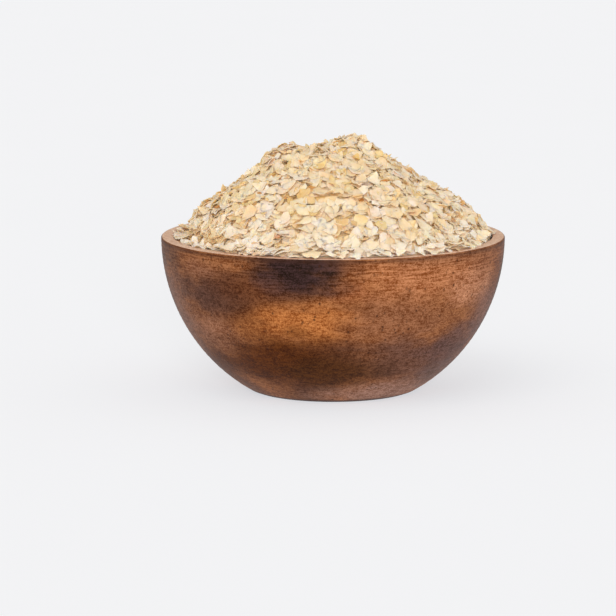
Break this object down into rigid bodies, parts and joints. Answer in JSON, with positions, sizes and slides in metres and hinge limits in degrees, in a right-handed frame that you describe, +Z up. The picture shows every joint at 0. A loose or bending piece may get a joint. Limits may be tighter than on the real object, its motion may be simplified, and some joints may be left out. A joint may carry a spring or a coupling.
{
  "type": "bowl of rice flakes",
  "caption": "Round turned wooden bowl with a flat rim and a flat foot, heaped high with small pale rice flakes.",
  "frame": {"origin": "centre of the bowl's flat foot, which stands on z = 0", "axes": "+Z up along the bowl's axis, +X to the right and -Y towards the viewer as pictured"},
  "size_m": [0.145, 0.145, 0.107],
  "materials": {
    "stained_wood": "dark brown stain, patchy, satin",
    "rice": "dry cream flakes, slightly translucent, matt"
  },
  "bodies": {
    "root": {"bowl": "stained_wood", "rice_flakes": "rice"}
  },
  "joints": []
}
